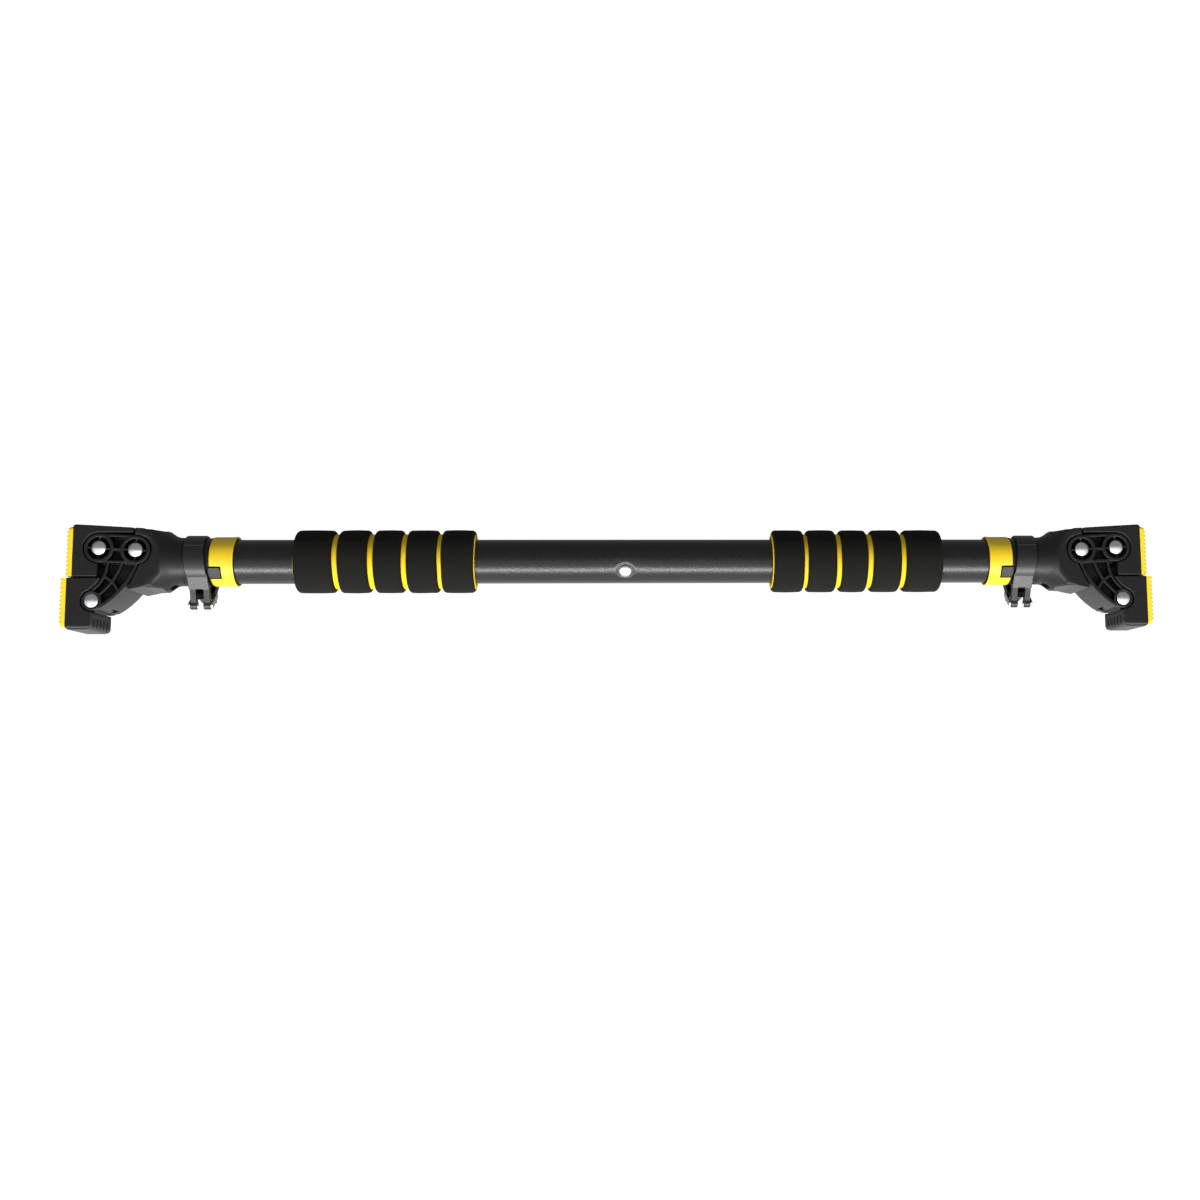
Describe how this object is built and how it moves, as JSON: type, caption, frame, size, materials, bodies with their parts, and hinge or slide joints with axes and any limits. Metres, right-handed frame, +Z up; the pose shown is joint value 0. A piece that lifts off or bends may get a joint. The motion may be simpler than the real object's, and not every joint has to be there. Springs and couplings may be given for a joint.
{
  "type": "pull up bar",
  "caption": "Doorway pull-up bar: steel tube with foam grips between two gravity-lock heads whose padded jaws press against the door jambs.",
  "frame": {"origin": "on the tube's axis, midway between the two upper wall pads", "axes": "+X along the bar to the user's right, -Y towards the user (bolt heads and rivet side), +Z up"},
  "size_m": [0.7818, 0.0456, 0.0748],
  "materials": {
    "tube_coating": "satin",
    "black_plastic": "moulded",
    "black_foam": "foam",
    "yellow_foam": "foam",
    "yellow_rubber": "moulded",
    "yellow_plastic": "moulded",
    "white_plastic": "moulded",
    "zinc_steel": "zinc plated",
    "plain_steel": "turned"
  },
  "bodies": {
    "bar": {"centre_tube": "tube_coating", "tube_doubler": "plain_steel", "tube_rivet": "tube_coating", "left_grip_core": "yellow_foam", "left_grip_rings": "black_foam", "right_grip_core": "yellow_foam", "right_grip_rings": "black_foam", "left_nut_bush": "plain_steel", "left_nut_pins": "plain_steel", "right_nut_bush": "plain_steel", "right_nut_pins": "plain_steel"},
    "left_slider": {"left_guide_bush": "white_plastic"},
    "left_head": {"left_neck": "black_plastic", "left_neck_bush": "plain_steel", "left_collar": "yellow_plastic", "left_clamp_ring": "black_plastic", "left_latch_pin": "plain_steel", "left_screw": "plain_steel", "left_screw_clip": "plain_steel"},
    "left_latch": {"left_latch_lever": "black_plastic", "left_latch_bail": "plain_steel"},
    "left_arm": {"left_arm": "black_plastic", "left_bolts": "zinc_steel", "left_nuts": "plain_steel"},
    "left_upper": {"left_upper_housing": "black_plastic", "left_upper_bush": "plain_steel", "left_upper_pad": "yellow_rubber"},
    "left_lower": {"left_lower_housing": "black_plastic", "left_lower_bush": "plain_steel", "left_lower_pad": "yellow_rubber"},
    "right_slider": {"right_guide_bush": "white_plastic"},
    "right_head": {"right_neck": "black_plastic", "right_neck_bush": "plain_steel", "right_collar": "yellow_plastic", "right_clamp_ring": "black_plastic", "right_latch_pin": "plain_steel", "right_screw": "plain_steel", "right_screw_clip": "plain_steel"},
    "right_latch": {"right_latch_lever": "black_plastic", "right_latch_bail": "plain_steel"},
    "right_arm": {"right_arm": "black_plastic", "right_bolts": "zinc_steel", "right_nuts": "plain_steel"},
    "right_upper": {"right_upper_housing": "black_plastic", "right_upper_bush": "plain_steel", "right_upper_pad": "yellow_rubber"},
    "right_lower": {"right_lower_housing": "black_plastic", "right_lower_bush": "plain_steel", "right_lower_pad": "yellow_rubber"}
  },
  "joints": [
    {"name": "left_extend", "type": "slide", "parent": "bar", "child": "left_slider", "axis": [-1, 0, 0], "range_m": [0, 0.024]},
    {"name": "left_turn", "type": "hinge", "parent": "left_slider", "child": "left_head", "pos_m": [-0.211, 0, 0], "axis": [-1, 0, 0], "range_deg": [0, 2160]},
    {"name": "left_latch_swing", "type": "hinge", "parent": "left_head", "child": "left_latch", "pos_m": [-0.29845, 0.0165, -0.014], "axis": [1, 0, 0], "range_deg": [0, 100]},
    {"name": "left_arm_swing", "type": "hinge", "parent": "left_head", "child": "left_arm", "pos_m": [-0.3396, 0, 0.006], "axis": [0, 1, 0], "range_deg": [0, 6]},
    {"name": "left_upper_tilt", "type": "hinge", "parent": "left_arm", "child": "left_upper", "pos_m": [-0.365, 0, 0.0074], "axis": [0, 1, 0], "range_deg": [-6, 0]},
    {"name": "left_lower_tilt", "type": "hinge", "parent": "left_arm", "child": "left_lower", "pos_m": [-0.3689, 0, -0.0301], "axis": [0, 1, 0], "range_deg": [-6, 0]},
    {"name": "right_extend", "type": "slide", "parent": "bar", "child": "right_slider", "axis": [1, 0, 0], "range_m": [0, 0.024]},
    {"name": "right_turn", "type": "hinge", "parent": "right_slider", "child": "right_head", "pos_m": [0.211, 0, 0], "axis": [1, 0, 0], "range_deg": [0, 2160]},
    {"name": "right_latch_swing", "type": "hinge", "parent": "right_head", "child": "right_latch", "pos_m": [0.29845, 0.0165, -0.014], "axis": [1, 0, 0], "range_deg": [0, 100]},
    {"name": "right_arm_swing", "type": "hinge", "parent": "right_head", "child": "right_arm", "pos_m": [0.3396, 0, 0.006], "axis": [0, -1, 0], "range_deg": [0, 6]},
    {"name": "right_upper_tilt", "type": "hinge", "parent": "right_arm", "child": "right_upper", "pos_m": [0.365, 0, 0.0074], "axis": [0, -1, 0], "range_deg": [-6, 0]},
    {"name": "right_lower_tilt", "type": "hinge", "parent": "right_arm", "child": "right_lower", "pos_m": [0.3689, 0, -0.0301], "axis": [0, -1, 0], "range_deg": [-6, 0]}
  ],
  "couplings": [
    {"joint": "left_turn", "follows": "left_extend", "rad_per_m": 1570.8},
    {"joint": "left_upper_tilt", "follows": "left_arm_swing", "ratio": -1},
    {"joint": "left_lower_tilt", "follows": "left_arm_swing", "ratio": -1},
    {"joint": "right_turn", "follows": "right_extend", "rad_per_m": 1570.8},
    {"joint": "right_upper_tilt", "follows": "right_arm_swing", "ratio": -1},
    {"joint": "right_lower_tilt", "follows": "right_arm_swing", "ratio": -1}
  ]
}
